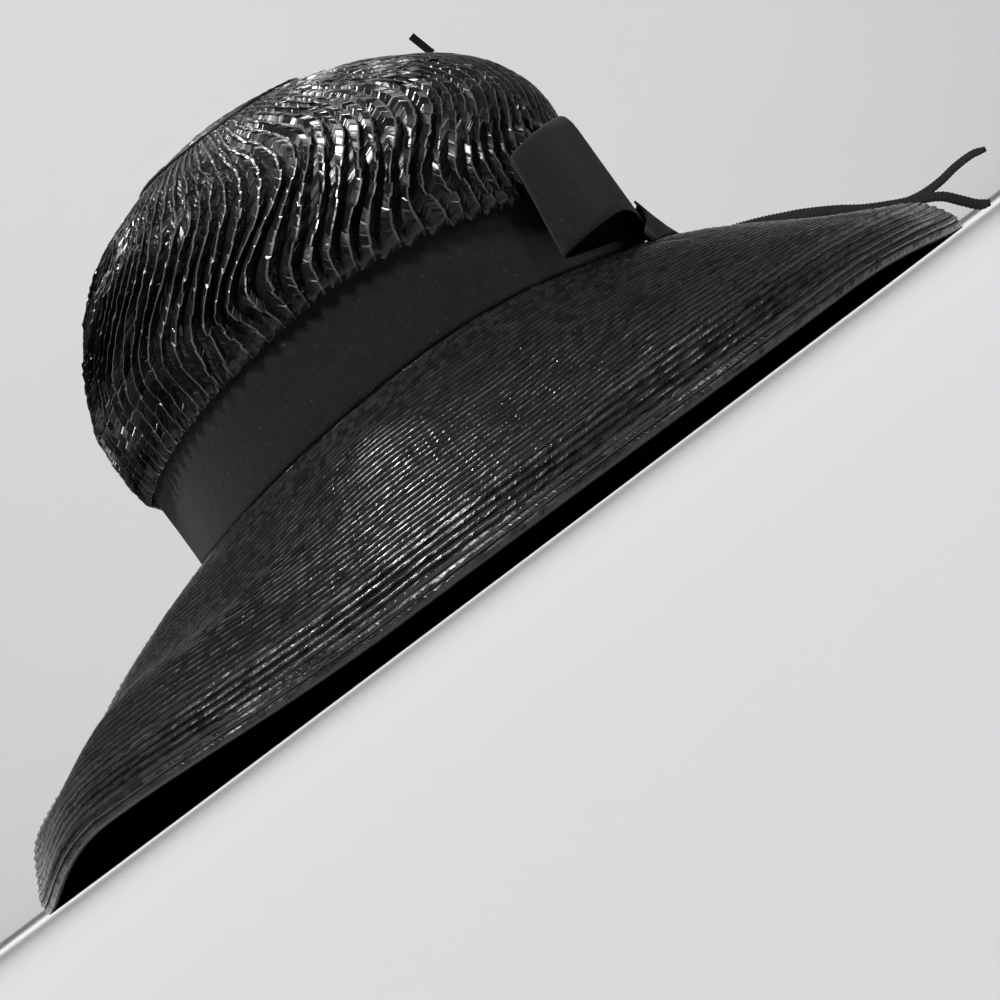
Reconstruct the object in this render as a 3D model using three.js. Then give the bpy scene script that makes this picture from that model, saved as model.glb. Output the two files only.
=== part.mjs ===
// Wide-brim straw hat: a gathered, plaited crown with a sewn tip, a ribbon band
// with a flat side bow, a sewn brim with turned-down edge and binding, and two
// narrow ribbon ties. Millimetres, +Z up, front towards -Y, wearer's left +X.
// The hat stands on the edge of its brim, which lies in the plane z = 0.

import * as THREE from 'three';

// ---------------------------------------------------------------- sizes, mm

const GAP = 0.3;                                         // left between pieces
const BRIM = { halfWidth: 177.5, halfDepth: 178, wall: 2.0, steps: 76 };
const BINDING = { height: 4.6, wall: 2.6, roundOff: 0.7 };
const CROWN_AT = { x: 10, y: 4 };                        // crown centre in the brim
const BASE = { halfWidth: 84.8, halfDepth: 104 };        // outside of the ribbon band
const RIBBON = { width: 34, wall: 1.2 };
const CROWN = { wall: 2.0, clothWall: 2.3 };
const GATHERS = { ribs: 46, depth: 3.0, atLip: 0.8, smoothFrom: 161, fade: 16, underBow: 0.2 };
const TIP = { wall: 2.0, lean: -0.6, steps: 44 };
const KNOT = { fromAngle: 90, toAngle: 100, steps: 4, off: 4.5, swell: 0.4, foot: 55.4, height: 36, wall: 1.3 };
const BRAID_END = { length: 8.6, width: 2.4, wall: 1.0, lean: -14, at: [68.0, 5, 147.8] };
const TIE = { width: 5.2, wall: 1.0, sides: 8, squareness: 0.4 };

// Angles are degrees about the crown centre, 0 at the front, 90 at wearer's left.

// Height of the line where brim and crown meet.
const BREAK_LINE = [
  { angle: -75, height: 57.6 },
  { angle: 6, height: 65.2 },
  { angle: 62, height: 56.2 },
  { angle: 95, height: 54.0 },
  { angle: 180, height: 56.5 },
];

// How far the brim's edge stands clear of the surface.
const EDGE_LIFT = [
  { angle: -78, height: 0 },
  { angle: -51, height: 11 },
  { angle: -12, height: 6 },
  { angle: 42, height: 5 },
  { angle: 76, height: 0 },
  { angle: 180, height: 0 },
];

// Brim section from the break line (run 0) to the binding (run 1).
const BRIM_SECTION = [
  { run: 0.0, drop: 0.0 },
  { run: 0.2, drop: 0.13 },
  { run: 0.4, drop: 0.295 },
  { run: 0.6, drop: 0.485 },
  { run: 0.8, drop: 0.675 },
  { run: 0.92, drop: 0.80 },
  { run: 1.0, drop: 1.0 },
];
const BRIM_RUNS = [0, 0.07, 0.2, 0.33, 0.46, 0.59, 0.71, 0.82, 0.9, 0.95, 1];
const BRIM_UNDER_RUNS = [1, 0.9, 0.76, 0.6, 0.44, 0.28, 0];

// Binding section, inward from the brim's edge and up from its foot.
const BINDING_SECTION = [
  { inward: BINDING.roundOff, up: BINDING.height },
  { inward: BINDING.wall + 0.2, up: BINDING.height },
  { inward: BINDING.wall + BINDING.roundOff, up: 0.8 },
  { inward: BINDING.wall, up: 0 },
  { inward: BINDING.roundOff / 2, up: 0 },
  { inward: 0, up: 1.0 },
];

// Soft folds of the brim: a swelling or hollow at an angle and a run.
const BRIM_FOLDS = [
  { angle: -44, spread: 17, run: 0.74, reach: 0.13, height: 3.4 },
  { angle: -37, spread: 16, run: 0.42, reach: 0.15, height: -3.2 },
  { angle: -95, spread: 36, run: 0.45, reach: 0.24, height: 2.6 },
  { angle: -90, spread: 28, run: 0.84, reach: 0.17, height: 4.4 },
  { angle: -9, spread: 9, run: 0.45, reach: 0.30, height: 2.0 },
  { angle: 9, spread: 9, run: 0.55, reach: 0.25, height: -1.6 },
  { angle: 27, spread: 11, run: 0.72, reach: 0.20, height: 2.2 },
  { angle: 88, spread: 24, run: 0.62, reach: 0.30, height: -2.6 },
  { angle: 140, spread: 16, run: 0.55, reach: 0.25, height: 1.8 },
  { angle: 200, spread: 18, run: 0.60, reach: 0.25, height: -1.6 },
  { angle: 236, spread: 14, run: 0.65, reach: 0.20, height: 1.8 },
];
const FOLDS_RUN = { from: 0.05, full: 0.25, fullTo: 0.9 };

// Lower lip of the gathered crown, which puffs out over the top of the band.
const CROWN_LIP = [
  { angle: -115, height: 78.0 },
  { angle: -90, height: 82.0 },
  { angle: 0, height: 96.0 },
  { angle: 48, height: 83.2 },
  { angle: 90, height: 84.0 },
  { angle: 180, height: 87.0 },
];

// Section of the lip, off the band: above the lip's height where it is loose,
// and above the band where the bow holds it in.
const LIP_SECTION = [
  { off: 0.3, rise: 0.8, heldOff: -0.9, heldRise: 0.5, rib: 0 },
  { off: 1.4, rise: 0.0, heldOff: -0.6, heldRise: 0.8, rib: 0 },
  { off: 2.5, rise: 1.6, heldOff: -0.3, heldRise: 1.7, rib: 1 },
];
const LIP_HELD = { inside: -1.2, sunkFrom: 0.88, risenFrom: 0.5 };

// Outside of the crown: half size as a share of BASE, and sideways lean, at each height.
const CROWN_SECTION = [
  { height: 98.8, spread: 1.030, lean: 0.4 },
  { height: 107.5, spread: 1.029, lean: 0.9 },
  { height: 115, spread: 1.012, lean: 1.9 },
  { height: 122, spread: 0.977, lean: 2.5 },
  { height: 128, spread: 0.940, lean: 2.7 },
  { height: 134, spread: 0.888, lean: 2.5 },
  { height: 140.5, spread: 0.818, lean: 1.7 },
  { height: 147, spread: 0.722, lean: 0.3 },
  { height: 152.6, spread: 0.620, lean: -0.3 },
  { height: 157.6, spread: 0.482, lean: -0.6 },
  { height: 160.95, spread: 0.372, lean: -0.6 },
];
const TIP_SECTION = [
  { height: 165.5, spread: 0.0 },
  { height: 165.0, spread: 0.147 },
  { height: 163.7, spread: 0.235 },
  { height: 162.3, spread: 0.311 },
  { height: 161.4, spread: 0.357 },
];

// The gathers lean round the crown as they rise.
const SWIRL = { turn: 17, rise: 36, startFront: 104, startSway: 13 };

// Where the bow lies on the band, it presses the gathers in.
const PRESSED = { from: 54, full: 64, fullTo: 148, to: 162, height: 92.6, rise: 8.5 };

// Ribbon loops of the bow, as hairpins: distance off the band and foot height at each angle.
const FRONT_LOOP = [
  { angle: 94.5, off: 1.1, foot: 56.4 },
  { angle: 84, off: 1.1, foot: 56.2 },
  { angle: 74, off: 1.4, foot: 56.6 },
  { angle: 64, off: 3.2, foot: 57.6 },
  { angle: 55, off: 5.8, foot: 58.8 },
  { angle: 46.5, off: 6.7, foot: 60.2 },
  { angle: 39.5, off: 7.2, foot: 61.8 },
  { angle: 35.0, off: 8.8, foot: 63.0 },
  { angle: 33.6, off: 11.6, foot: 63.4 },
  { angle: 35.6, off: 14.8, foot: 64.2 },
  { angle: 42, off: 16.6, foot: 65.2 },
  { angle: 51, off: 14.9, foot: 65.4 },
  { angle: 60.5, off: 10.6, foot: 63.4 },
  { angle: 70, off: 6.8, foot: 60.2 },
  { angle: 81, off: 3.8, foot: 57.4 },
  { angle: 94.5, off: 2.8, foot: 56.4 },
];
const BACK_LOOP = [
  { angle: 95.5, off: 1.1, foot: 56.4 },
  { angle: 112, off: 1.1, foot: 56.5 },
  { angle: 126, off: 1.2, foot: 56.9 },
  { angle: 138, off: 1.6, foot: 57.4 },
  { angle: 143, off: 3.2, foot: 57.6 },
  { angle: 144, off: 5.2, foot: 58.2 },
  { angle: 141, off: 7.4, foot: 59.0 },
  { angle: 134, off: 7.8, foot: 59.6 },
  { angle: 124, off: 6.4, foot: 58.8 },
  { angle: 112, off: 4.2, foot: 57.2 },
  { angle: 95.5, off: 2.8, foot: 56.4 },
];
const LOOP_HEAD_REACH = 0.93;                            // the loops narrow towards their head

// Ribbon tail that leaves the knot and lies over the root of the brim. Its front end is
// cut on the slant, so that only a share of its height is left there.
const TAIL_WALL = 1.2;
const TAIL_CUT = [
  { angle: 60, share: 0.25 },
  { angle: 66, share: 0.42 },
  { angle: 72, share: 0.6 },
  { angle: 77, share: 0.77 },
  { angle: 80, share: 1 },
  { angle: 86, share: 1 },
  { angle: 92, share: 1 },
  { angle: 98, share: 1 },
  { angle: 104, share: 1 },
];
const TAIL_SECTION = [
  { off: 6.1, clear: 15.2 },
  { off: 7.6, clear: 9.4 },
  { off: 9.2, clear: 4.4 },
  { off: 10.8, clear: 1.0 },
];

// Routes of the narrow ties: from under the bow, over the brim, past its edge.
const LONG_TIE_ROUTE = [
  [107.4, 22.8, 49.0],
  [113.0, 23.2, 46.4],
  [119.5, 20.8, 43.2],
  [127.0, 15.6, 40.0],
  [134.5, 10.4, 36.4],
  [142.0, 6.0, 32.8],
  [149.5, 3.0, 28.2],
  [156.5, 0.5, 23.2],
  [164.0, -2.0, 18.9],
  [171.5, -4.0, 15.2],
  [178.0, -5.5, 11.4],
  [182.2, -6.5, 6.4],
  [185.6, -7.2, 2.4],
  [188.6, -7.8, 0.9],
];
const SHORT_TIE_ROUTE = [
  [107.0, 30.6, 49.2],
  [114.0, 30.4, 45.6],
  [122.0, 28.5, 41.2],
  [132.0, 26.0, 35.4],
  [142.0, 23.0, 29.5],
  [151.0, 20.0, 24.9],
  [160.0, 17.0, 20.8],
  [168.0, 14.5, 17.8],
  [175.4, 12.5, 15.8],
  [182.0, 11.0, 15.6],
  [188.5, 10.0, 16.4],
  [195.0, 9.5, 16.4],
  [199.6, 9.2, 15.2],
];

// ------------------------------------------------------------------ helpers

const rad = THREE.MathUtils.degToRad;
const { lerp, smoothstep } = THREE.MathUtils;

function easeBetween(a, b, share) {
  return a + (b - a) * (1 - Math.cos(Math.PI * share)) / 2;
}

// Smooth value round the crown from rows that hold an angle and a height.
function roundTable(rows, angle) {
  const sorted = [...rows].sort((p, q) => p.angle - q.angle);
  const first = sorted[0];
  const at = angle - 360 * Math.floor((angle - first.angle) / 360);
  const loop = [...sorted, { ...first, angle: first.angle + 360 }];
  const next = loop.findIndex((row) => row.angle > at);
  const low = loop[next - 1];
  const high = loop[next];
  return easeBetween(low.height, high.height, (at - low.angle) / (high.angle - low.angle));
}

// Smooth value between rows of a section, by a monotone cubic.
function sectionTable(rows, key, value, at) {
  const x = rows.map((row) => row[key]);
  const y = rows.map((row) => row[value]);
  const rising = x[0] < x[x.length - 1] ? 1 : -1;
  let i = 0;
  while (i < x.length - 2 && (at - x[i + 1]) * rising > 0) i += 1;
  const slope = (k) => (y[k + 1] - y[k]) / (x[k + 1] - x[k]);
  const tangent = (k) => {
    if (k === 0) return slope(0);
    if (k === x.length - 1) return slope(k - 1);
    const a = slope(k - 1);
    const b = slope(k);
    return a * b <= 0 ? 0 : 2 * a * b / (a + b);
  };
  const span = x[i + 1] - x[i];
  const s = THREE.MathUtils.clamp((at - x[i]) / span, 0, 1);
  const h00 = (1 + 2 * s) * (1 - s) ** 2;
  const h10 = s * (1 - s) ** 2;
  const h01 = s * s * (3 - 2 * s);
  const h11 = s * s * (s - 1);
  return h00 * y[i] + h10 * span * tangent(i) + h01 * y[i + 1] + h11 * span * tangent(i + 1);
}

// Distance from the crown centre to an oval about that centre.
function ovalRadius(halfWidth, halfDepth, angle) {
  const a = rad(angle);
  return 1 / Math.hypot(Math.sin(a) / halfWidth, Math.cos(a) / halfDepth);
}

function baseRadius(angle, inset = 0) {
  return ovalRadius(BASE.halfWidth - inset, BASE.halfDepth - inset, angle);
}

// Distance from the crown centre to the brim's outer edge, an oval about the brim's centre.
function edgeRadius(angle, inset = 0) {
  const w = BRIM.halfWidth - inset;
  const d = BRIM.halfDepth - inset;
  const dx = Math.sin(rad(angle));
  const dy = -Math.cos(rad(angle));
  const a = (dx / w) ** 2 + (dy / d) ** 2;
  const b = dx * CROWN_AT.x / w ** 2 + dy * CROWN_AT.y / d ** 2;
  const c = (CROWN_AT.x / w) ** 2 + (CROWN_AT.y / d) ** 2 - 1;
  return (-b + Math.sqrt(b * b - a * c)) / a;
}

function place(angle, radius, height) {
  return new THREE.Vector3(
    CROWN_AT.x + radius * Math.sin(rad(angle)),
    CROWN_AT.y - radius * Math.cos(rad(angle)),
    height,
  );
}

// Turns every face outward: the enclosed volume has to come out positive.
function facingOut(geometry) {
  const p = geometry.attributes.position;
  const index = geometry.index ? geometry.index.array : [...Array(p.count).keys()];
  const a = new THREE.Vector3();
  const b = new THREE.Vector3();
  const c = new THREE.Vector3();
  let volume = 0;
  for (let i = 0; i < index.length; i += 3) {
    a.fromBufferAttribute(p, index[i]);
    b.fromBufferAttribute(p, index[i + 1]);
    c.fromBufferAttribute(p, index[i + 2]);
    volume += a.dot(b.cross(c));
  }
  if (volume < 0) {
    const turned = [];
    for (let i = 0; i < index.length; i += 3) turned.push(index[i], index[i + 2], index[i + 1]);
    geometry.setIndex(turned);
  }
  geometry.computeVertexNormals();
  return geometry;
}

function bodyFrom(points, faces) {
  const geometry = new THREE.BufferGeometry();
  const numbers = points.flatMap((p) => [p.x, p.y, p.z]);
  geometry.setAttribute('position', new THREE.Float32BufferAttribute(numbers, 3));
  geometry.setIndex(faces.flat());
  return facingOut(geometry);
}

// Closed body through closed sections. It joins up with itself, or has flat ends.
function loft(sections, joined) {
  const count = sections[0].length;
  const faces = [];
  const spans = joined ? sections.length : sections.length - 1;
  for (let i = 0; i < spans; i += 1) {
    const near = i * count;
    const far = ((i + 1) % sections.length) * count;
    for (let k = 0; k < count; k += 1) {
      const n = (k + 1) % count;
      faces.push([near + k, far + k, near + n], [near + n, far + k, far + n]);
    }
  }
  if (!joined) {
    const last = (sections.length - 1) * count;
    for (let k = 1; k < count - 1; k += 1) {
      faces.push([0, k, k + 1], [last, last + k + 1, last + k]);
    }
  }
  return bodyFrom(sections.flat(), faces);
}

function ringAngles(steps) {
  return Array.from({ length: steps }, (_, i) => -180 + 360 * i / steps);
}

// Moves a line of (r, z) points square to itself by a distance.
function offsetLine(line, distance) {
  return line.map((point, i) => {
    const before = line[Math.max(i - 1, 0)];
    const after = line[Math.min(i + 1, line.length - 1)];
    const dr = after.r - before.r;
    const dz = after.z - before.z;
    const length = Math.hypot(dr, dz);
    return { r: point.r + distance * dz / length, z: point.z - distance * dr / length };
  });
}

// --------------------------------------------------------------------- brim

function breakHeight(angle) {
  return roundTable(BREAK_LINE, angle);
}

function edgeLift(angle) {
  return roundTable(EDGE_LIFT, angle);
}

function foldHeight(angle, run) {
  let sum = 0;
  for (const fold of BRIM_FOLDS) {
    let turn = (angle - fold.angle) % 360;
    if (turn > 180) turn -= 360;
    if (turn < -180) turn += 360;
    const across = Math.exp(-((turn / fold.spread) ** 2));
    const along = Math.exp(-(((run - fold.run) / fold.reach) ** 2));
    sum += fold.height * across * along;
  }
  return sum * smoothstep(run, FOLDS_RUN.from, FOLDS_RUN.full) * (1 - smoothstep(run, FOLDS_RUN.fullTo, 1));
}

// Top face of the brim, as (r, z) from the crown centre.
function brimTop(angle, run) {
  const inner = baseRadius(angle, RIBBON.wall + GAP) + GAP;
  const outer = edgeRadius(angle, BINDING.roundOff);
  const high = breakHeight(angle);
  const low = edgeLift(angle) + BINDING.height + GAP;
  const drop = (high - low) * sectionTable(BRIM_SECTION, 'run', 'drop', run);
  return { r: inner + (outer - inner) * run, z: high - drop + foldHeight(angle, run) };
}

// Height of the brim's top face at a distance from the crown centre.
function brimHeightAt(angle, radius) {
  const inner = brimTop(angle, 0).r;
  const outer = brimTop(angle, 1).r;
  return brimTop(angle, (radius - inner) / (outer - inner)).z;
}

function brimBody() {
  const sections = ringAngles(BRIM.steps).map((angle) => {
    const top = BRIM_RUNS.map((run) => brimTop(angle, run));
    const under = offsetLine(BRIM_UNDER_RUNS.map((run) => brimTop(angle, run)), -BRIM.wall);
    under[0] = { r: top[top.length - 1].r - BRIM.wall, z: top[top.length - 1].z };
    under[under.length - 1].r = top[0].r;
    return [...top, ...under].map((point) => place(angle, point.r, point.z));
  });
  return loft(sections, true);
}

// Binding folded round the edge: a narrow upright strip with a level foot.
function bindingBody() {
  const sections = ringAngles(BRIM.steps).map((angle) => {
    const foot = edgeLift(angle);
    const outer = edgeRadius(angle);
    return BINDING_SECTION.map((row) => place(angle, outer - row.inward, foot + row.up));
  });
  return loft(sections, true);
}

// --------------------------------------------------------------------- band

function bandBody() {
  const sections = ringAngles(BRIM.steps).map((angle) => {
    const outer = baseRadius(angle);
    const inner = baseRadius(angle, RIBBON.wall);
    const foot = breakHeight(angle) + GAP;
    return [
      place(angle, outer, foot),
      place(angle, outer, foot + RIBBON.width),
      place(angle, inner, foot + RIBBON.width),
      place(angle, inner, foot),
    ];
  });
  return loft(sections, true);
}

// -------------------------------------------------------------------- crown

function swirlTurn(angle, height) {
  const start = SWIRL.startFront - SWIRL.startSway * Math.sin(rad(angle));
  return SWIRL.turn * smoothstep(height, start, start + SWIRL.rise);
}

function pressedShare(angle) {
  const into = smoothstep(angle, PRESSED.from, PRESSED.full);
  return into * (1 - smoothstep(angle, PRESSED.fullTo, PRESSED.to));
}

// Distance off the band that the bow leaves to the gathers at a height.
function pressedOff(angle, height, off) {
  const free = smoothstep(height, PRESSED.height + GAP, PRESSED.height + PRESSED.rise);
  const held = lerp(-GAP, off, free);
  return lerp(off, Math.min(off, held), pressedShare(angle));
}

function crownBody() {
  const steps = GATHERS.ribs * 2;
  const mean = (BASE.halfWidth + BASE.halfDepth) / 2;
  const outer = CROWN_SECTION.map((row) => ({ r: row.spread * mean, z: row.height, lean: row.lean }));
  const inner = offsetLine(outer, -CROWN.clothWall)
    .map((point, k) => ({ ...point, lean: outer[k].lean }))
    .slice(1)
    .reverse();
  const inset = -(RIBBON.wall + GAP);
  const sections = ringAngles(steps).map((angle, i) => {
    const ridge = i % 2 === 0 ? 1 : -1;
    const risen = smoothstep(pressedShare(angle), 0, LIP_HELD.risenFrom);
    const sunk = smoothstep(pressedShare(angle), LIP_HELD.sunkFrom, 1);
    const lip = roundTable(CROWN_LIP, angle);
    const bandTop = breakHeight(angle) + GAP + RIBBON.width;
    const bottom = breakHeight(angle) - BRIM.wall;
    const wall = (off, z) => place(angle, baseRadius(angle) + off, z);
    const lipWall = (row) => {
      const loose = row.off + row.rib * ridge * GATHERS.atLip;
      return wall(lerp(loose, row.heldOff, sunk), lerp(lip + row.rise, bandTop + row.heldRise, risen));
    };
    const shell = (point, ribs) => {
      const turned = angle + swirlTurn(angle, point.z);
      const above = smoothstep(GATHERS.smoothFrom - point.z, 0, GATHERS.fade);
      const fade = above * lerp(1, GATHERS.underBow, pressedShare(turned));
      const loose = baseRadius(turned) * (point.r / mean - 1) + ribs * ridge * fade * GATHERS.depth / 2;
      const off = ribs ? pressedOff(turned, point.z, loose) : loose;
      const at = place(turned, baseRadius(turned) + off, point.z);
      at.x += point.lean;
      return at;
    };
    return [
      wall(inset, bottom),
      wall(inset, bandTop + GAP),
      wall(lerp(GAP, LIP_HELD.inside, sunk), bandTop + GAP),
      ...LIP_SECTION.map(lipWall),
      ...outer.map((point) => shell(point, 1)),
      ...inner.map((point) => shell(point, 0)),
      wall(inset - CROWN.wall, bandTop + GAP),
      wall(inset - CROWN.wall, bottom),
    ];
  });
  return loft(sections, true);
}

// Oval cap that closes the crown.
function tipBody() {
  const top = TIP_SECTION.map((row) => new THREE.Vector2(row.spread, row.height));
  const under = TIP_SECTION.map((row) => new THREE.Vector2(row.spread, row.height - TIP.wall)).reverse();
  const geometry = new THREE.LatheGeometry([...top, ...under], TIP.steps);
  geometry.deleteAttribute('normal');
  geometry.deleteAttribute('uv');
  geometry.rotateX(Math.PI / 2);
  geometry.scale(BASE.halfWidth, BASE.halfDepth, 1);
  geometry.translate(CROWN_AT.x + TIP.lean, CROWN_AT.y, 0);
  return facingOut(geometry);
}

// Cut end of a braid that stands out of the crown.
function braidEndBody() {
  return new THREE.BoxGeometry(BRAID_END.width, BRAID_END.wall, BRAID_END.length);
}

// ---------------------------------------------------------------------- bow

// Smooth line along the foot of a ribbon, from its distance off the band and its height.
function loopLine(rows, samples) {
  const points = rows.map((row) => place(row.angle, baseRadius(row.angle) + row.off, row.foot));
  return new THREE.CatmullRomCurve3(points, false, 'centripetal').getPoints(samples);
}

// Upright ribbon from its foot line to its head line, which lies a ribbon's width higher.
function ribbonBody(feet, heads, wall, width) {
  const sideOf = (line, i) => {
    const before = line[Math.max(i - 1, 0)];
    const after = line[Math.min(i + 1, line.length - 1)];
    const along = new THREE.Vector3().subVectors(after, before).setZ(0).normalize();
    return new THREE.Vector3(along.y, -along.x, 0).multiplyScalar(wall / 2);
  };
  const sections = feet.map((point, i) => {
    const low = sideOf(feet, i);
    const high = sideOf(heads, i);
    const head = heads[i].clone().setZ(point.z + width);
    return [point.clone().add(low), head.clone().add(high), head.clone().sub(high), point.clone().sub(low)];
  });
  return loft(sections, false);
}

function bowLoopBody(rows, samples) {
  const knotAngle = (KNOT.fromAngle + KNOT.toAngle) / 2;
  const heads = rows.map((row) => ({
    ...row,
    angle: knotAngle + (row.angle - knotAngle) * LOOP_HEAD_REACH,
  }));
  return ribbonBody(loopLine(rows, samples), loopLine(heads, samples), RIBBON.wall, RIBBON.width);
}

function knotBody() {
  const rows = [];
  for (let i = 0; i <= KNOT.steps; i += 1) {
    const share = i / KNOT.steps;
    const angle = lerp(KNOT.fromAngle, KNOT.toAngle, share);
    rows.push({ angle, off: KNOT.off + KNOT.swell * Math.sin(Math.PI * share), foot: KNOT.foot });
  }
  const line = loopLine(rows, 2 * KNOT.steps);
  return ribbonBody(line, line, KNOT.wall, KNOT.height);
}

function tailBody() {
  const foot = TAIL_SECTION[TAIL_SECTION.length - 1];
  const sections = TAIL_CUT.map(({ angle, share }) => {
    const line = TAIL_SECTION.map((row) => {
      const radius = baseRadius(angle) + lerp(foot.off, row.off, share);
      return { r: radius, z: brimHeightAt(angle, radius) + lerp(foot.clear, row.clear, share) };
    });
    const outside = offsetLine(line, -TAIL_WALL).reverse();
    return [...line, ...outside].map((point) => place(angle, point.r, point.z));
  });
  return loft(sections, false);
}

// --------------------------------------------------------------------- ties

// Flat ribbon along a route, its broad face towards +Z.
function tieBody(route, steps) {
  const squared = (share) => Math.sign(share) * Math.abs(share) ** TIE.squareness;
  const curve = new THREE.CatmullRomCurve3(route.map((p) => new THREE.Vector3(...p)), false, 'centripetal');
  const sections = [];
  for (let i = 0; i <= steps; i += 1) {
    const at = curve.getPointAt(i / steps);
    const along = curve.getTangentAt(i / steps);
    const across = new THREE.Vector3(0, 0, 1).cross(along).normalize();
    const up = new THREE.Vector3().crossVectors(along, across).normalize();
    const ring = [];
    for (let k = 0; k < TIE.sides; k += 1) {
      const turn = 2 * Math.PI * (k + 0.5) / TIE.sides;
      const wide = squared(Math.cos(turn)) * TIE.width / 2;
      const thick = squared(Math.sin(turn)) * TIE.wall / 2;
      ring.push(at.clone().addScaledVector(across, wide).addScaledVector(up, thick));
    }
    sections.push(ring);
  }
  return loft(sections, false);
}

// ----------------------------------------------------------------- the parts

const STRAW = { color: 0x0b0b0c, roughness: 0.35, metalness: 0.0 };
const PLAIT = { color: 0x08080a, roughness: 0.18, metalness: 0.0 };
const GROSGRAIN = { color: 0x17171a, roughness: 0.85, metalness: 0.0 };

const hat = new THREE.Group();

function addPiece(name, geometry, look) {
  const mesh = new THREE.Mesh(geometry, new THREE.MeshStandardMaterial(look));
  mesh.name = name;
  hat.add(mesh);
  return mesh;
}

addPiece('crown', crownBody(), PLAIT);
addPiece('crown_tip', tipBody(), STRAW);
addPiece('brim', brimBody(), STRAW);
addPiece('edge_binding', bindingBody(), GROSGRAIN);
addPiece('hat_band', bandBody(), GROSGRAIN);
addPiece('bow_loop_front', bowLoopBody(FRONT_LOOP, 44), GROSGRAIN);
addPiece('bow_loop_back', bowLoopBody(BACK_LOOP, 30), GROSGRAIN);
addPiece('bow_knot', knotBody(), GROSGRAIN);
addPiece('bow_tail', tailBody(), GROSGRAIN);
addPiece('tie_long', tieBody(LONG_TIE_ROUTE, 26), GROSGRAIN);
addPiece('tie_short', tieBody(SHORT_TIE_ROUTE, 22), GROSGRAIN);

const braidEnd = addPiece('braid_end', braidEndBody(), PLAIT);
braidEnd.position.set(CROWN_AT.x + BRAID_END.at[0], CROWN_AT.y + BRAID_END.at[1], BRAID_END.at[2]);
braidEnd.rotation.y = rad(BRAID_END.lean);

export default hat;
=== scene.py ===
import math

import bmesh
import bpy
import numpy as np
from mathutils import Matrix, Vector


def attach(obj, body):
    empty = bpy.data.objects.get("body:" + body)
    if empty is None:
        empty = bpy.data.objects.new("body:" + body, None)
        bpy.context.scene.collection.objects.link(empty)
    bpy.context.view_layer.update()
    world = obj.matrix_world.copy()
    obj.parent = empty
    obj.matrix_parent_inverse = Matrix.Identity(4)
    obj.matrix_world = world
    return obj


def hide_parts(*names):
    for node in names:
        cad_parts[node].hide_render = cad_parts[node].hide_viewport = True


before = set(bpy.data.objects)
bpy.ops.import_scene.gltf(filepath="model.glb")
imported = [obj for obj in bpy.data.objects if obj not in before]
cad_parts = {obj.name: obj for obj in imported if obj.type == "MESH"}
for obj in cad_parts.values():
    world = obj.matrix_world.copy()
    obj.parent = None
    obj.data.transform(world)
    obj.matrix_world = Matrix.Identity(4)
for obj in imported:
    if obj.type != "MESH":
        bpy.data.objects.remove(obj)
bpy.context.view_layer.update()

SEED = 11

# Wide-brim straw hat. Sizes are in millimetres, in the same frame as the CAD: +Z up, front
# towards -Y, wearer's left +X. Angles are degrees about the crown centre, 0 at the front.

MM = 0.001
GAP = 0.3
BRIM_HALF = (177.5, 178.0)
BRIM_WALL = 2.0
CROWN_AT = (10.0, 4.0)
BASE_HALF = (84.8, 104.0)
BASE_MEAN = sum(BASE_HALF) / 2
RIBBON_WIDTH = 34.0
RIBBON_WALL = 1.2
BINDING_HEIGHT = 4.6
BINDING_ROUND = 0.7
CLOTH_WALL = 2.3

BREAK_LINE = ((-75, 57.6), (6, 65.2), (62, 56.2), (95, 54.0), (180, 56.5))
EDGE_LIFT = ((-78, 0), (-51, 11), (-12, 6), (42, 5), (76, 0), (180, 0))
BRIM_SECTION = ((0, 0), (0.2, 0.13), (0.4, 0.295), (0.6, 0.485), (0.8, 0.675), (0.92, 0.80), (1, 1))
# angle, spread, run, reach, height
BRIM_FOLDS = (
    (-44, 17, 0.74, 0.13, 3.4), (-37, 16, 0.42, 0.15, -3.2), (-95, 36, 0.45, 0.24, 2.6),
    (-90, 28, 0.84, 0.17, 4.4), (-9, 9, 0.45, 0.30, 2.0), (9, 9, 0.55, 0.25, -1.6),
    (27, 11, 0.72, 0.20, 2.2), (88, 24, 0.62, 0.30, -2.6), (140, 16, 0.55, 0.25, 1.8),
    (200, 18, 0.60, 0.25, -1.6), (236, 14, 0.65, 0.20, 1.8),
)
CROWN_LIP = ((-115, 78.0), (-90, 82.0), (0, 96.0), (48, 83.2), (90, 84.0), (180, 87.0))
# off the band, rise above the lip, off where the bow holds it, rise above the band there, share of rib
LIP_SECTION = ((0.3, 0.8, -0.9, 0.5, 0.0), (1.4, 0.0, -0.6, 0.8, 0.3), (2.5, 1.6, -0.3, 1.7, 1.0))
LIP_HELD_INSIDE = -1.2
LIP_SUNK_FROM = 0.88
LIP_RISEN_FROM = 0.5
# height, share of the base oval, sideways lean
CROWN_SECTION = (
    (98.8, 1.030, 0.4), (107.5, 1.029, 0.9), (115, 1.012, 1.9), (122, 0.977, 2.5),
    (128, 0.940, 2.7), (134, 0.888, 2.5), (140.5, 0.818, 1.7), (147, 0.722, 0.3),
    (152.6, 0.620, -0.3), (157.6, 0.482, -0.6), (160.95, 0.372, -0.6),
)
TIP_SECTION = ((165.5, 0.0), (165.0, 0.147), (163.7, 0.235), (162.3, 0.311), (161.4, 0.357))
TIP_LEAN = -0.6
SWIRL_TURN = 17.0
SWIRL_RISE = 36.0
SWIRL_START = 104.0
SWIRL_SWAY = 13.0
PRESSED = (54, 64, 148, 162)
PRESSED_HEIGHT = 92.6
PRESSED_RISE = 8.5

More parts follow.
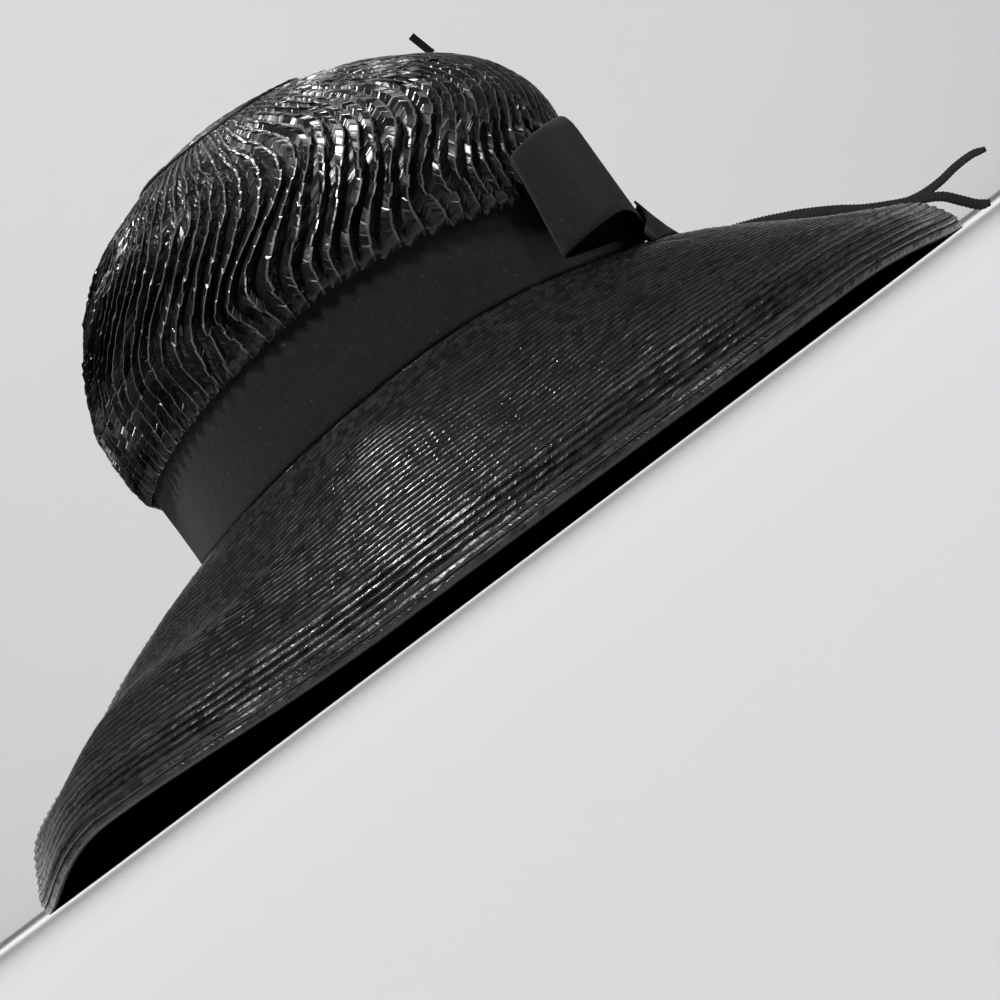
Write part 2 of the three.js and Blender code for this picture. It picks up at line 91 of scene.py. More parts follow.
# angle, distance off the band, foot height
FRONT_LOOP = (
    (94.5, 1.1, 56.4), (84, 1.1, 56.2), (74, 1.4, 56.6), (64, 3.2, 57.6),
    (55, 5.8, 58.8), (46.5, 6.7, 60.2), (39.5, 7.2, 61.8), (35.0, 8.8, 63.0),
    (33.6, 11.6, 63.4), (35.6, 14.8, 64.2), (42, 16.6, 65.2), (51, 14.9, 65.4),
    (60.5, 10.6, 63.4), (70, 6.8, 60.2), (81, 3.8, 57.4), (94.5, 2.8, 56.4),
)
BACK_LOOP = (
    (95.5, 1.1, 56.4), (112, 1.1, 56.5), (126, 1.2, 56.9), (138, 1.6, 57.4),
    (143, 3.2, 57.6), (144, 5.2, 58.2), (141, 7.4, 59.0), (134, 7.8, 59.6),
    (124, 6.4, 58.8), (112, 4.2, 57.2), (95.5, 2.8, 56.4),
)
LOOP_HEAD_REACH = 0.93
KNOT_ANGLES = (90, 100)
KNOT_OFF = 4.5
KNOT_SWELL = 0.4
KNOT_FOOT = 55.4
KNOT_HEIGHT = 36.0
# angle, share of the tail's height left by its slanting cut
TAIL_CUT = ((60, 0.25), (66, 0.42), (72, 0.6), (77, 0.77), (80, 1), (86, 1), (92, 1), (98, 1), (104, 1))
# off the band, clear of the brim
TAIL_SECTION = ((6.1, 15.2), (7.6, 9.4), (9.2, 4.4), (10.8, 1.0))

TIE_WIDTH = 5.2
LONG_TIE_ROUTE = (
    (107.4, 22.8, 49.0), (113.0, 23.2, 46.4), (119.5, 20.8, 43.2), (127.0, 15.6, 40.0),
    (134.5, 10.4, 36.4), (142.0, 6.0, 32.8), (149.5, 3.0, 28.2), (156.5, 0.5, 23.2),
    (164.0, -2.0, 18.9), (171.5, -4.0, 15.2), (178.0, -5.5, 11.4), (182.2, -6.5, 6.4),
    (185.6, -7.2, 2.4), (188.6, -7.8, 0.9),
)
SHORT_TIE_ROUTE = (
    (107.0, 30.6, 49.2), (114.0, 30.4, 45.6), (122.0, 28.5, 41.2), (132.0, 26.0, 35.4),
    (142.0, 23.0, 29.5), (151.0, 20.0, 24.9), (160.0, 17.0, 20.8), (168.0, 14.5, 17.8),
    (175.4, 12.5, 15.8), (182.0, 11.0, 15.6), (188.5, 10.0, 16.4), (195.0, 9.5, 16.4),
    (199.6, 9.2, 15.2),
)

BRAIDS = 104            # plaited folds round the crown
BRAID_LENGTH = 3.1      # one crossing of the plait
STRAW_PITCH = 2.5       # width of a sewn row
STRAW_LENGTH = 3.0


# ---- numbers

def smoothstep(x, low, high):
    s = np.clip((x - low) / (high - low), 0, 1)
    return s * s * (3 - 2 * s)


def lerp(a, b, share):
    return a + (b - a) * share


def round_table(rows, angle):
    """Smooth value round the crown from rows of (angle, value)."""
    rows = sorted(rows)
    first, value = rows[0]
    xs, ys = np.array(rows + [(first + 360, value)], float).T
    at = first + np.mod(angle - first, 360)
    low = np.clip(np.searchsorted(xs, at, side="right") - 1, 0, len(rows) - 1)
    share = (at - xs[low]) / (xs[low + 1] - xs[low])
    return ys[low] + (ys[low + 1] - ys[low]) * (1 - np.cos(np.pi * share)) / 2


def section_table(rows, column, at):
    """Smooth value between rows by a monotone cubic, first column against another."""
    table = np.array(sorted(rows), float)
    x, y = table[:, 0], table[:, column]
    slope = np.diff(y) / np.diff(x)
    a, b = slope[:-1], slope[1:]
    total = np.where(a + b == 0, 1, a + b)
    middle = np.where(a * b > 0, 2 * a * b / total, 0)
    tangent = np.concatenate(([slope[0]], middle, [slope[-1]]))
    i = np.clip(np.searchsorted(x, at, side="right") - 1, 0, len(x) - 2)
    span = x[i + 1] - x[i]
    s = np.clip((at - x[i]) / span, 0, 1)
    rise = y[i] * (1 + 2 * s) * (1 - s) ** 2 + y[i + 1] * s * s * (3 - 2 * s)
    return rise + span * (tangent[i] * s * (1 - s) ** 2 + tangent[i + 1] * s * s * (s - 1))


def wander(seed, across, along, patches, patch_length):
    """Smooth seeded noise from -1 to 1 at places across (which comes round) and along."""
    rng = np.random.default_rng(SEED + seed)
    columns = max(3, int(round(patches)))
    total_rows = int(np.ceil(np.max(along) / patch_length)) + 3
    values = rng.uniform(-1, 1, (total_rows, columns))
    x = np.mod(across, 1.0) * columns
    y = np.clip(along / patch_length, 0, total_rows - 2)
    i, k = np.floor(x).astype(int), np.floor(y).astype(int)
    fx, fy = smoothstep(x - i, 0, 1), smoothstep(y - k, 0, 1)
    near, far = i % columns, (i + 1) % columns
    low = lerp(values[k, near], values[k, far], fx)
    high = lerp(values[k + 1, near], values[k + 1, far], fx)
    return lerp(low, high, fy)


# ---- the hat's form

def base_radius(angle, inset=0.0):
    a = np.radians(angle)
    return 1 / np.hypot(np.sin(a) / (BASE_HALF[0] - inset), np.cos(a) / (BASE_HALF[1] - inset))


def edge_radius(angle, inset=0.0):
    w, d = BRIM_HALF[0] - inset, BRIM_HALF[1] - inset
    dx, dy = np.sin(np.radians(angle)), -np.cos(np.radians(angle))
    a = (dx / w) ** 2 + (dy / d) ** 2
    b = dx * CROWN_AT[0] / w ** 2 + dy * CROWN_AT[1] / d ** 2
    c = (CROWN_AT[0] / w) ** 2 + (CROWN_AT[1] / d) ** 2 - 1
    return (-b + np.sqrt(b * b - a * c)) / a


def angles_round(count):
    return -180 + 360 * np.arange(count) / count


def place(angle, radius, height):
    """Points (…, 3) from an angle and a distance about the crown centre, and a height."""
    a = np.radians(angle)
    x = CROWN_AT[0] + radius * np.sin(a)
    y = CROWN_AT[1] - radius * np.cos(a)
    return np.stack(np.broadcast_arrays(x, y, height), axis=-1)


def break_height(angle):
    return round_table(BREAK_LINE, angle)


def edge_lift(angle):
    return round_table(EDGE_LIFT, angle)


def fold_height(angle, run):
    total = 0
    for at, spread, fold_run, reach, height in BRIM_FOLDS:
        turn = np.mod(angle - at + 180, 360) - 180
        beside, beyond = (turn / spread) ** 2, ((run - fold_run) / reach) ** 2
        total = total + height * np.exp(-beside) * np.exp(-beyond)
    return total * smoothstep(run, 0.05, 0.25) * (1 - smoothstep(run, 0.9, 1))


def brim_reach(angle):
    return base_radius(angle, RIBBON_WALL + GAP) + GAP, edge_radius(angle, BINDING_ROUND)


def brim_top(angle, run):
    """Distance and height of the brim's top face."""
    inner, outer = brim_reach(angle)
    high = break_height(angle)
    low = edge_lift(angle) + BINDING_HEIGHT + GAP
    drop = (high - low) * section_table(BRIM_SECTION, 1, run)
    return inner + (outer - inner) * run, high - drop + fold_height(angle, run)


def brim_height_at(angle, radius):
    inner, outer = brim_reach(angle)
    return brim_top(angle, (radius - inner) / (outer - inner))[1]


def swirl_turn(angle, height):
    start = SWIRL_START - SWIRL_SWAY * np.sin(np.radians(angle))
    return SWIRL_TURN * smoothstep(height, start, start + SWIRL_RISE)


def pressed_share(angle):
    at = np.mod(angle + 180, 360) - 180
    return smoothstep(at, PRESSED[0], PRESSED[1]) * (1 - smoothstep(at, PRESSED[2], PRESSED[3]))


def pressed_off(angle, height, off):
    free = smoothstep(height, PRESSED_HEIGHT + GAP, PRESSED_HEIGHT + PRESSED_RISE)
    held = lerp(-GAP, off, free)
    return lerp(off, np.minimum(off, held), pressed_share(angle))


def offset_line(r, z, distance):
    """Moves lines of points, one per column, square to themselves by a distance."""
    dr, dz = np.gradient(r, axis=0), np.gradient(z, axis=0)
    length = np.hypot(dr, dz)
    return r + distance * dz / length, z - distance * dr / length


# ---- meshes

def grid_faces(rows, columns, along_wraps):
    """Faces of a grid as corners (row, column); a wrapped corner is one past the last."""
    i = np.arange(rows if along_wraps else rows - 1)
    i, k = [part.ravel() for part in np.meshgrid(i, np.arange(columns), indexing="ij")]
    row = np.stack([i, i, i + 1, i + 1], axis=1)
    column = np.stack([k, k + 1, k + 1, k], axis=1)
    return row, column


def piece_from_grid(name, points, material, uv, along_wraps=False, collapsed=None, smooth=True):
    """A mesh piece from a grid of points (rows, columns, 3) in mm, whose columns come round. uv
    has one more column, and one more row where the rows come round too. collapsed maps each
    vertex to the one that stands for it."""
    rows, columns = points.shape[:2]
    row, column = grid_faces(rows, columns, along_wraps)
    corners = (row % rows) * columns + column % columns
    if collapsed is not None:
        corners = collapsed[corners]
    faces, loops = [], []
    for face, uv_row, uv_column in zip(corners.tolist(), row.tolist(), column.tolist()):
        kept = [n for n in range(4) if face[n] != face[n - 1]]
        if len(kept) > 2:
            faces.append([face[n] for n in kept])
            loops.extend((uv_row[n], uv_column[n]) for n in kept)
    mesh = bpy.data.meshes.new(name)
    mesh.from_pydata((points.reshape(-1, 3) * MM).tolist(), [], faces)
    at = np.array(loops)
    layer = mesh.uv_layers.new(name="Weave")
    layer.data.foreach_set("uv", uv[at[:, 0], at[:, 1]].astype(np.float32).ravel())
    return finished(name, mesh, material, smooth)


def in_scene(name, data):
    thing = bpy.data.objects.new(name, data)
    bpy.context.scene.collection.objects.link(thing)
    return thing


def finished(name, mesh, material, smooth):
    """Cleans the mesh, turns it outward, shades it and gives it its material."""
    build = bmesh.new()
    build.from_mesh(mesh)
    loose = [v for v in build.verts if not v.link_faces]
    bmesh.ops.delete(build, geom=loose, context="VERTS")
    bmesh.ops.recalc_face_normals(build, faces=build.faces)
    build.to_mesh(mesh)
    build.free()
    mesh.materials.append(material)
    if smooth:
        mesh.shade_smooth()
    piece = in_scene(name, mesh)
    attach(piece, "root")
    return piece


def drawn_in(row):
    """A row of points pulled together to its middle."""
    return np.repeat(row.mean(axis=1, keepdims=True), row.shape[1], axis=1)


def capped(points):
    """A closed grid along a ribbon, with both ends drawn in."""
    return np.concatenate([drawn_in(points[:1]), points, drawn_in(points[-1:])])


def capped_uv(along, around):
    """Weave places of a capped ribbon: along it, and round its section."""
    uv = np.zeros((len(along) + 2, len(around), 2))
    uv[1:-1, :, 0] = along[:, None]
    uv[-1, :, 0] = along[-1]
    uv[:, :, 1] = around
    return uv


def smooth_line(points, samples):
    """Centripetal curve through points, at even parameter steps."""
    p = np.array(points, float)
    p = np.concatenate([[2 * p[0] - p[1]], p, [2 * p[-1] - p[-2]]])
    out = []
    for step in range(samples + 1):
        t = (len(points) - 1) * step / samples
        i = min(int(t), len(points) - 2)
        t -= i
        x0, x1, x2, x3 = p[i:i + 4]
        pairs = ((x0, x1), (x1, x2), (x2, x3))
        d0, d1, d2 = (math.sqrt(max(np.linalg.norm(b - a), 1e-6)) for a, b in pairs)
        t1 = ((x1 - x0) / d0 - (x2 - x0) / (d0 + d1) + (x2 - x1) / d1) * d1
        t2 = ((x2 - x1) / d1 - (x3 - x1) / (d1 + d2) + (x3 - x2) / d2) * d1
        square = -3 * x1 + 3 * x2 - 2 * t1 - t2
        cube = 2 * x1 - 2 * x2 + t1 + t2
        out.append(x1 + t1 * t + square * t ** 2 + cube * t ** 3)
    return np.array(out)


def length_along(line):
    return np.concatenate([[0], np.cumsum(np.linalg.norm(np.diff(line, axis=0), axis=1))])


def evened(line, count):
    """The same line with evenly spaced points."""
    along = length_along(line)
    at = np.linspace(0, along[-1], count)
    return np.stack([np.interp(at, along, line[:, k]) for k in range(line.shape[1])], axis=1)


# ---- materials

def new_material(name):
    material = bpy.data.materials.new(name)
    material.use_nodes = True
    material.node_tree.nodes.clear()
    return material, material.node_tree


def add(tree, kind, inputs, **settings):
    """Adds a shader node. An input given as a socket is linked, and any other is set."""
    made = tree.nodes.new("ShaderNode" + kind)
    for key, value in settings.items():
        setattr(made, key, value)
    for socket, value in inputs.items():
        if isinstance(value, bpy.types.NodeSocket):
            tree.links.new(value, made.inputs[socket])
        else:
            made.inputs[socket].default_value = value
    return made


def maths(tree, operation, a, b=0.0):
    return add(tree, "Math", {0: a, 1: b}, operation=operation).outputs[0]


def plus(tree, a, b):
    return maths(tree, "ADD", a, b)


def minus(tree, a, b):
    return maths(tree, "SUBTRACT", a, b)


def times(tree, a, b):
    return maths(tree, "MULTIPLY", a, b)


def off_place(tree, value, at):
    """How far a value lies from one place in each whole step."""
    return maths(tree, "ABSOLUTE", minus(tree, maths(tree, "FRACT", value), at))


def ramp(tree, value, low, high, to_low=0.0, to_high=1.0):
    inputs = {0: value, 1: low, 2: high, 3: to_low, 4: to_high}
    return add(tree, "MapRange", inputs, interpolation_type="SMOOTHSTEP").outputs[0]


def mixed_colour(tree, share, a, b):
    return add(tree, "Mix", {0: share, 6: a, 7: b}, data_type="RGBA").outputs[2]


def noise(tree, scale, detail=3.0, vector=None, roughness=0.55):
    if vector is None:
        vector = add(tree, "TexCoord", {}).outputs["Object"]
    inputs = {"Scale": scale, "Detail": detail, "Roughness": roughness, "Vector": vector}
    return add(tree, "TexNoise", inputs).outputs["Fac"]


def weave_uv(tree):
    """The piece's own coordinates: across the rows or ribs, and along them."""
    uv = add(tree, "UVMap", {}, uv_map="Weave").outputs[0]
    parts = add(tree, "SeparateXYZ", {0: uv})
    return parts.outputs[0], parts.outputs[1]


def bump(tree, height, strength, distance_mm, normal=None):
    inputs = {"Height": height, "Strength": strength, "Distance": distance_mm * MM}
    if normal is not None:
        inputs["Normal"] = normal
    return add(tree, "Bump", inputs).outputs[0]


def surface(tree, inputs):
    shader = add(tree, "BsdfPrincipled", inputs)
    add(tree, "OutputMaterial", {0: shader.outputs[0]})


def cell_chances(tree, x, y, z):
    """Three random numbers for each cell of the weave, which three whole numbers name."""
    cell = add(tree, "CombineXYZ", {0: x, 1: y, 2: z}).outputs[0]
    chance = add(tree, "TexWhiteNoise", {"Vector": cell}, noise_dimensions="3D")
    return add(tree, "SeparateXYZ", {0: chance.outputs["Color"]}).outputs


def streak_noise(tree, across, along, lift=0.0):
    """Noise drawn out by coordinates that are scaled before."""
    at = add(tree, "CombineXYZ", {0: across, 1: along, 2: lift}).outputs[0]
    return noise(tree, 1.0, 2.0, at)


STRAW_SLANT = 0.9    # how far the elements of a row point along it, in their own lengths
STRAW_TILT = 0.7


def straw_height(tree, across, along):
    """Height of flat straw in overlapping, tilted arrowheads, and a random number for each."""
    inside = minus(tree, maths(tree, "FRACT", across), 0.5)
    slanted = times(tree, maths(tree, "ABSOLUTE", inside), STRAW_SLANT)
    steps = plus(tree, maths(tree, "DIVIDE", along, STRAW_LENGTH), slanted)
    row, element = maths(tree, "FLOOR", across), maths(tree, "FLOOR", steps)
    chances = cell_chances(tree, row, element, maths(tree, "SIGN", inside))
    part = maths(tree, "FRACT", steps)
    lift = ramp(tree, off_place(tree, steps, 0.5), 0.0, 0.17, 0.75, 0.0)
    lean = times(tree, minus(tree, chances[0], 0.5), inside)
    pitch = times(tree, minus(tree, chances[1], 0.5), part)
    tilts = times(tree, plus(tree, lean, pitch), STRAW_TILT)
    return plus(tree, lift, tilts), chances[2]


CREST_PLACE = 0.80       # weave coordinate of a fold's crest, where a pale line is painted on as a highlight
PLAIT_TURN = 0.4         # weave coordinate where a fold's two slopes have different straws
PLAIT_TONES = ((0.0025, 0.0025, 0.0030, 1), (0.0120, 0.0120, 0.0130, 1))
PLAIT_CREST_HIGHLIGHT = (0.085, 0.085, 0.088, 1)


def plait_material():
    """Glossy flat straw: each crossing has its own polish, tone and fine grooves, and a pale line is
    painted along each fold's crest as a highlight.
    """
    material, tree = new_material("black_plait")
    across, along = weave_uv(tree)
    slope = maths(tree, "SIGN", minus(tree, maths(tree, "FRACT", across), PLAIT_TURN))
    chances = cell_chances(tree, maths(tree, "FLOOR", across), maths(tree, "FLOOR", along), slope)
    pillow = ramp(tree, off_place(tree, along, 0.5), 0.30, 0.5, 1.0, 0.0)
    streaks = streak_noise(tree, times(tree, across, 2.5), times(tree, along, 9.0), chances[1])
    normal = bump(tree, pillow, 0.7, 0.14)
    normal = bump(tree, streaks, 0.4, 0.09, normal)
    dull = noise(tree, 140.0, 3.0)
    polish = times(tree, chances[2], 0.26)
    roughness = plus(tree, ramp(tree, dull, 0.35, 0.7, 0.07, 0.16), polish)
    colour = mixed_colour(tree, chances[0], *PLAIT_TONES)
    # painted highlight: a pale line along each fold's crest, broken up by noise
    on_crest = ramp(tree, off_place(tree, across, CREST_PLACE), 0.018, 0.026, 1.0, 0.0)
    painted_crest_highlight = times(tree, on_crest, ramp(tree, dull, 0.3, 0.6, 0.35, 1.0))
    colour = mixed_colour(tree, painted_crest_highlight, colour, PLAIT_CREST_HIGHLIGHT)
    surface(tree, {"Base Color": colour, "Roughness": roughness, "IOR": 1.5, "Normal": normal})
    return material


STRAW_MIDDLE = 0.42      # weave coordinate of a sewn row's middle; its seams lie half a row off
STRAW_TONES = ((0.008, 0.008, 0.0085, 1), (0.022, 0.022, 0.0225, 1))
STRAW_SEAM_SHADE = (0.001, 0.001, 0.001, 1)


def straw_material(name, shine, level=0.5):
    """Sewn rows of flat straw: dusty gloss that changes from element to element, and rougher seams
    painted near black as the shade in the creases between rows.
    """
    material, tree = new_material(name)
    across, along = weave_uv(tree)
    height, chance = straw_height(tree, across, along)
    streaks = streak_noise(tree, times(tree, across, 14.0), times(tree, along, 0.5))
    normal = bump(tree, height, 0.3, 0.22)
    normal = bump(tree, streaks, 0.3, 0.10, normal)
    dusty = ramp(tree, noise(tree, 60.0, 5.0), 0.35, 0.7, shine, shine + 0.10)
    roughness = plus(tree, dusty, times(tree, chance, 0.20))
    # painted shade: the creases between the rows are coloured near black and made rougher
    painted_seam_shade = ramp(tree, off_place(tree, across, STRAW_MIDDLE), 0.30, 0.50)
    roughness = plus(tree, roughness, times(tree, painted_seam_shade, 0.35))
    colour = mixed_colour(tree, chance, *STRAW_TONES)
    colour = mixed_colour(tree, painted_seam_shade, colour, STRAW_SEAM_SHADE)
    surface(tree, {
        "Base Color": colour, "Roughness": roughness, "IOR": 1.5, "Specular IOR Level": level,
        "Normal": normal,
    })
    return material


RIBBON_THREAD = 0.42     # pitch of the weft threads
RIBBON_GROOVE_SHADE = (0.003, 0.003, 0.003, 1)
RIBBON_LINT = (0.22, 0.21, 0.18, 1)


def ribbon_material(name, rib, light, lint=0.35, sheen=0.18):
    """Grosgrain: cross ribs with painted shade in the grooves between them, faint weft threads, matt
    nap and a few specks of lint.
    """
    material, tree = new_material(name)
    along, up = weave_uv(tree)
    ribs = maths(tree, "SINE", times(tree, along, 2 * math.pi / rib))
    threads = maths(tree, "SINE", times(tree, up, 2 * math.pi / RIBBON_THREAD))
    body = plus(tree, ribs, times(tree, threads, 0.35))
    normal = bump(tree, body, 0.45, 0.15)
    normal = bump(tree, noise(tree, 900.0, 4.0), 0.7, 0.25, normal)
    patch = noise(tree, 420.0, 5.0, roughness=0.75)
    dark = (light * 0.45, light * 0.45, light * 0.45, 1)
    pale = (light, light, light * 1.03, 1)
    colour = mixed_colour(tree, ramp(tree, patch, 0.3, 0.7), dark, pale)
    # painted shade: the grooves between the ribs are coloured darker
    colour = mixed_colour(tree, ramp(tree, ribs, -1.0, 0.0, 0.45, 1.0), RIBBON_GROOVE_SHADE, colour)
    specks = ramp(tree, noise(tree, 1300.0, 0.0), 0.80, 0.86)
    colour = mixed_colour(tree, times(tree, specks, lint), colour, RIBBON_LINT)
    surface(tree, {
        "Base Color": colour, "Roughness": 0.88, "IOR": 1.45, "Specular IOR Level": 0.25,
        "Sheen Weight": sheen, "Sheen Roughness": 0.5, "Sheen Tint": (0.6, 0.6, 0.62, 1),
        "Normal": normal,
    })
    return material


def painted_shade_cloth_material():
    """The loops' inner side: the same cloth painted near black and nearly without gloss as shade, since
    it lies too deep inside to catch the light.
    """
    material, tree = new_material("loop_inside_painted_shade")
    nap = noise(tree, 420.0, 4.0)
    colour = mixed_colour(tree, nap, (0.0008, 0.0008, 0.0008, 1), (0.0030, 0.0030, 0.0028, 1))
    surface(tree, {
        "Base Color": colour, "Roughness": 0.95, "Specular IOR Level": 0.03,
        "Normal": bump(tree, nap, 0.5, 0.2),
    })
    return material


def pale_paper_material():
    material, tree = new_material("studio_paper")
    grain = noise(tree, 3.0, 2.0)
    colour = mixed_colour(tree, grain, (0.66, 0.66, 0.672, 1), (0.68, 0.68, 0.69, 1))
    surface(tree, {"Base Color": colour, "Roughness": 0.95, "Specular IOR Level": 0.1})
    return material


# ---- camera, studio

CAMERA_AT = (0.010, -1.496, 0.004)
CAMERA_ROLL = 37.0
CAMERA_LENS = 172.8
CAMERA_YAW = 0.0010833    # slopes of the line of sight, to the right and up
CAMERA_PITCH = 0.0098958


def add_camera():
    data = bpy.data.cameras.new("camera")
    data.lens = CAMERA_LENS
    data.sensor_width = 36.0
    data.clip_start = 0.005
    data.clip_end = 30.0
    camera = in_scene("camera", data)
    forward = Vector((CAMERA_YAW, 1.0, CAMERA_PITCH)).normalized()
    level_right = forward.cross(Vector((0, 0, 1))).normalized()
    level_up = level_right.cross(forward)
    roll = math.radians(CAMERA_ROLL)
    right = level_right * math.cos(roll) - level_up * math.sin(roll)
    up = level_right * math.sin(roll) + level_up * math.cos(roll)
    turn = Matrix((right, up, -forward)).transposed().to_4x4()
    camera.matrix_world = Matrix.Translation(CAMERA_AT) @ turn
    bpy.context.scene.camera = camera


def aimed_light(name, data, at, target):
    light = in_scene(name, data)
    light.location = at
    light.rotation_euler = (Vector(target) - Vector(at)).to_track_quat("-Z", "Y").to_euler()


def add_panel(name, at, target, size, power):
    data = bpy.data.lights.new(name, "AREA")
    data.shape = "RECTANGLE"
    data.size, data.size_y = size
    data.energy = power
    aimed_light(name, data, at, target)


def add_spot(name, at, target, cone, power, softness=0.15):
    data = bpy.data.lights.new(name, "SPOT")
    data.energy = power
    data.spot_size = math.radians(cone)
    data.spot_blend = 1.0
    data.shadow_soft_size = softness
    aimed_light(name, data, at, target)


ROOM_FLOOR = 2.58    # radius of the level floor
ROOM_COVE = 1.53     # radius of the curve from floor to wall
ROOM_HEIGHT = 4.5
ROOM_SIDES = 96
COVE_STEPS = 16
HAT_MIDDLE = (0.0, 0.0, 0.07)


def add_room():
    """A round room of pale seamless paper, its floor curved up into the wall."""
    profile = [(ROOM_FLOOR - 0.1, 0.0), (ROOM_FLOOR, 0.0)]
    for step in range(1, COVE_STEPS + 1):
        turn = math.pi / 2 * step / COVE_STEPS
        profile.append((ROOM_FLOOR + ROOM_COVE * math.sin(turn), ROOM_COVE * (1 - math.cos(turn))))
    profile.append((ROOM_FLOOR + ROOM_COVE, ROOM_HEIGHT))
    turns = [2 * math.pi * i / ROOM_SIDES for i in range(ROOM_SIDES)]
    points = [(r * math.sin(turn), r * math.cos(turn), z) for r, z in profile for turn in turns]
    faces = [tuple(reversed(range(ROOM_SIDES)))]
    for row in range(len(profile) - 1):
        for i in range(ROOM_SIDES):
            a, b = row * ROOM_SIDES + i, row * ROOM_SIDES + (i + 1) % ROOM_SIDES
            faces.append((a, b, b + ROOM_SIDES, a + ROOM_SIDES))
    mesh = bpy.data.meshes.new("studio_sweep")
    mesh.from_pydata(points, [], faces)
    mesh.materials.append(pale_paper_material())
    mesh.shade_smooth()
    in_scene("studio_sweep", mesh)


def add_lights():
    """Two narrow lights on the hat, two small ones beside it, and wide ones on the paper."""
    add_spot("key", (-0.17, -0.80, 1.50), HAT_MIDDLE, 25, 124, 0.14)
    add_spot("top_back", (-0.13, 0.55, 1.5), HAT_MIDDLE, 27, 66, 0.12)
    add_panel("side_right", (1.2, -0.6, 1.25), (0.0, 0.0, 0.1), (0.25, 0.4), 7)
    add_panel("side_left", (-1.2, -0.5, 1.25), (0.0, 0.0, 0.1), (0.25, 0.4), 8)
    add_spot("backdrop", (0.0, 2.32, 2.89), (0.0, 3.60, 0.26), 100, 272, 0.42)
    add_spot("wall_left", (-2.9, 0.0, 2.2), (-4.0, 0.0, 0.4), 60, 100, 0.3)
    add_spot("floor_front", (0.0, -1.28, 1.4), (0.0, -1.28, 0.0), 68, 66)

    world = bpy.data.worlds.new("studio")
    world.use_nodes = True
    shade = world.node_tree.nodes["Background"]
    shade.inputs[0].default_value = (0.80, 0.80, 0.82, 1)
    shade.inputs[1].default_value = 0.06
    bpy.context.scene.world = world
    bpy.context.scene.view_settings.view_transform = "Standard"


# ---- ties

TIE_STEPS = 380
PICOT_DEPTH = 0.36
PICOT_PITCH = 1.35
TIE_SELVEDGE = 0.24      # how far the ribbon's body stays inside its width
# Section of the ribbon: share of its half width, and distance off its middle plane
TIE_SECTION = (
    (1, 0), (0.86, 0.30), (0.4, 0.36), (-0.4, 0.36), (-0.86, 0.30),
    (-1, 0), (-0.86, -0.30), (-0.4, -0.36), (0.4, -0.36), (0.86, -0.30),
)
# share of the length, turn about it in degrees
LONG_TIE_TWIST = ((0, 0), (0.08, 10), (0.16, 52), (0.30, 50), (0.42, 34), (0.75, 30), (1, 38))
SHORT_TIE_TWIST = ((0, 0), (0.6, 8), (0.78, 32), (1, 26))


def tie_piece(name, node, route, twist, material):
    """Flat petersham ribbon along a route, with picot loops along both edges."""
    line = evened(smooth_line(route, 400), TIE_STEPS)
    along = length_along(line)
    total = along[-1]
    tangent = np.gradient(line, axis=0)
    tangent /= np.linalg.norm(tangent, axis=1, keepdims=True)
    across = np.cross(np.array([0, 0, 1.0]), tangent)
    across /= np.linalg.norm(across, axis=1, keepdims=True)
    up = np.cross(tangent, across)
    shares, turns = zip(*twist)
    turn = np.radians(np.interp(along / total, shares, turns))[:, None]
    wide = across * np.cos(turn) + up * np.sin(turn)
    thick = up * np.cos(turn) - across * np.sin(turn)
    picot = PICOT_DEPTH * (0.5 + 0.5 * np.cos(2 * np.pi * along / PICOT_PITCH))
    half = TIE_WIDTH / 2 - TIE_SELVEDGE + picot
    half *= 1 - 0.35 * smoothstep(along, total - 3.0, total)
    ring = [line + wide * (half[:, None] * a) + thick * b for a, b in TIE_SECTION]
    around = np.append([a for a, b in TIE_SECTION], 1.0) * TIE_WIDTH / 2
    piece = piece_from_grid(name, capped(np.stack(ring, axis=1)), material, capped_uv(along, around))
    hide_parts(node)


def add_ties():
    material = ribbon_material("tie_ribbon", 1.1, 0.007, 0.05, 0.05)
    tie_piece("long_tie_ribbon", "tie_long", LONG_TIE_ROUTE, LONG_TIE_TWIST, material)
    tie_piece("short_tie_ribbon", "tie_short", SHORT_TIE_ROUTE, SHORT_TIE_TWIST, material)


# ---- crown

CROSSINGS = 34
# Section along one crossing of the plait: share of its length and share of its step
CROSSING = ((0.0, 0.0), (0.5, 0.55), (0.93, 1.0))
CROSSING_STEP = 0.42
CALM_BELOW, LIVELY_ABOVE = 98, 122     # heights: the straw lies flatter low on the crown
ARROW = 2.1             # how far the middle of a crossing runs ahead of its sides
NICK = 0.085            # how far a crossing moves the crest aside, in folds
CROWN_INNER_ROWS = 12
CROWN_INSIDE = 1.4      # room between the folds and the inner wall
CROWN_INNER_LOW = 107.5
CROWN_PATH_LOW = 76
CROWN_PATH_STEPS = 900
BULGE_LOW = 98.8        # height from which the bulge follows CROWN_SECTION
LIP_OFF = 2.5
CREST_WIDTH = 0.55
FOLD_FOOT = 0.6         # share of a fold's height that lies inside the smooth form
# Section of one fold: place across it as a share of the crest's place, in crest widths past
# the crest, and as a share of the rest; then its height, its place across the weave, and how
# far the crossings point up there.
FOLD_SECTION = (
    (0.00, 0.0, 0.0, 0.00, 0.00, 0.0),
    (0.50, 0.0, 0.0, 0.58, 0.40, 1.0),
    (1.00, -1.0, 0.0, 0.96, 0.78, 0.1),
    (1.00, 0.0, 0.0, 1.00, 0.82, 0.0),
    (1.00, 0.0, 0.5, 0.38, 0.91, 0.9),
)
# Places along the weave, in crossings, of the rows below the folds and of the last rows inside
CROWN_FOOT_WEAVE = (-15.0, -3.0, -1.6, -1.1, -0.5)
CROWN_END_WEAVE = (5.0, 10.0, 16.0, 17.0)


def bulge_spread(height):
    return section_table(CROWN_SECTION, 1, np.maximum(height, BULGE_LOW))


def bulge_lean(height):
    return section_table(CROWN_SECTION, 2, np.maximum(height, BULGE_LOW))


